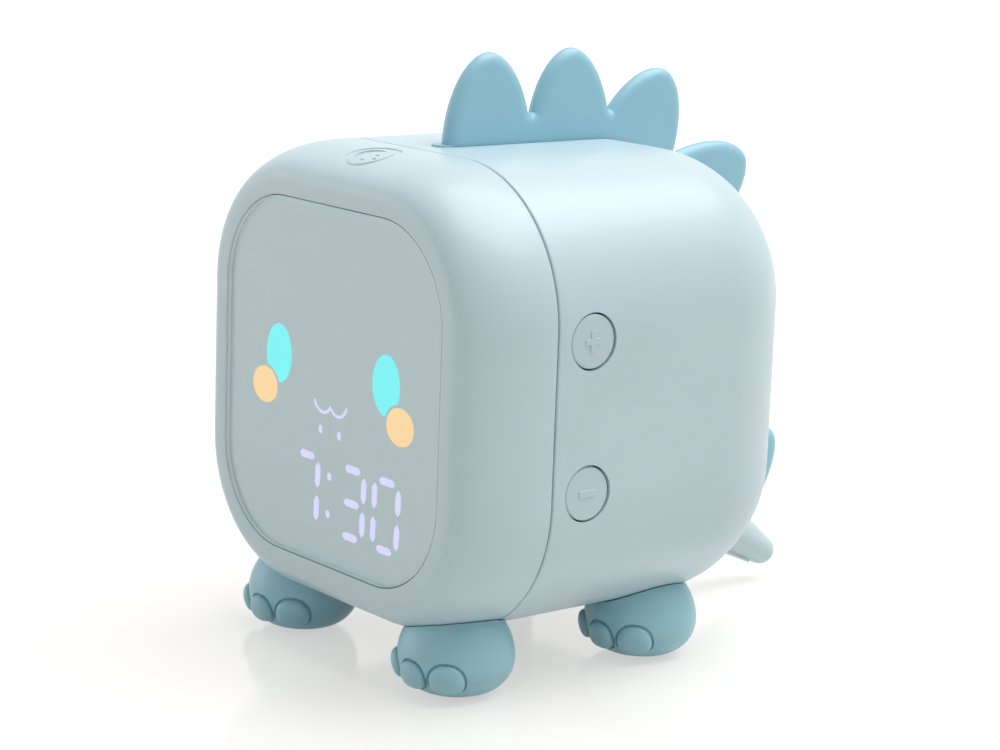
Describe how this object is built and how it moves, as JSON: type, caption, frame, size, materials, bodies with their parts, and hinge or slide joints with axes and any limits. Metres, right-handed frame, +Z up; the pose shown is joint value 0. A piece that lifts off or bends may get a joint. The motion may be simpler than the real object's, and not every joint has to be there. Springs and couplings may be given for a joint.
{
  "type": "kids' alarm clock with night light",
  "caption": "Cube-shaped dinosaur alarm clock and night light with a lit digital face, soft rounded case, spine comb, tail, round feet and side buttons.",
  "frame": {"origin": "on the table under the middle of the whole outline (bounding box), in millimetres in the source and metres here", "axes": "-Y is the way the lit face looks, +X is to the right of a person who looks at the face, +Z is up"},
  "size_m": [0.09, 0.1203, 0.118],
  "materials": {
    "shell": "fine satin, pale blue",
    "button": "satin, pale blue",
    "trim": "satin, mid blue",
    "foot": "satin, grey blue",
    "lens": "clear, glossy",
    "face_print": "printed blue-grey",
    "dark_plastic": "black",
    "circuit_board": "green solder mask",
    "lamp": "phosphor yellow",
    "brass": "plain",
    "ribbon": "pale film",
    "cell_wrap": "shrink wrap",
    "spring_steel": "plain",
    "cone": "pressed paper",
    "magnet": "plain",
    "rubber": "matt",
    "screw": "zinc"
  },
  "bodies": {
    "case": {"front_shell": "shell", "rear_shell": "shell", "face_lens": "lens", "light_sheet": "face_print", "light_mask": "dark_plastic", "display_board": "circuit_board", "display_lamps": "lamp", "night_lamps": "lamp", "display_driver": "dark_plastic", "display_screws": "screw", "touch_pad": "brass", "touch_lead": "brass", "tact_switches": "dark_plastic", "button_board_right": "circuit_board", "button_board_left": "circuit_board", "button_board_screws": "screw", "main_board": "circuit_board", "main_chips": "dark_plastic", "main_board_screws": "screw", "ribbon_cable": "ribbon", "charging_socket": "spring_steel", "switch_body": "spring_steel", "battery_cell": "cell_wrap", "battery_holder": "dark_plastic", "battery_contacts": "spring_steel", "speaker_gasket": "rubber", "speaker_basket": "spring_steel", "speaker_cone": "cone", "speaker_magnet": "magnet", "speaker_screws": "screw", "spine_comb": "trim", "comb_screws": "screw", "tail": "shell", "tail_cover": "shell", "tail_fin": "trim", "tail_screw": "screw", "case_screws": "screw", "foot_front_right": "foot", "foot_front_left": "foot", "foot_rear_right": "foot", "foot_rear_left": "foot", "foot_screws": "screw", "foot_pads": "rubber"},
    "plus_key": {"plus_button": "button", "plus_plunger": "dark_plastic"},
    "minus_key": {"minus_button": "button", "minus_plunger": "dark_plastic"},
    "mode_key": {"mode_button": "button", "mode_plunger": "dark_plastic"},
    "alarm_key": {"alarm_button": "button", "alarm_plunger": "dark_plastic"},
    "power_slide": {"switch_knob": "dark_plastic"}
  },
  "joints": [
    {"name": "plus_press", "type": "slide", "parent": "case", "child": "plus_key", "axis": [-1, 0, 0], "range_m": [0, 0.0006], "stiffness_N_per_m": 1500},
    {"name": "minus_press", "type": "slide", "parent": "case", "child": "minus_key", "axis": [-1, 0, 0], "range_m": [0, 0.0006], "stiffness_N_per_m": 1500},
    {"name": "mode_press", "type": "slide", "parent": "case", "child": "mode_key", "axis": [1, 0, 0], "range_m": [0, 0.0006], "stiffness_N_per_m": 1500},
    {"name": "alarm_press", "type": "slide", "parent": "case", "child": "alarm_key", "axis": [1, 0, 0], "range_m": [0, 0.0006], "stiffness_N_per_m": 1500},
    {"name": "power_slide_travel", "type": "slide", "parent": "case", "child": "power_slide", "axis": [1, 0, 0], "range_m": [0, 0.002]}
  ]
}
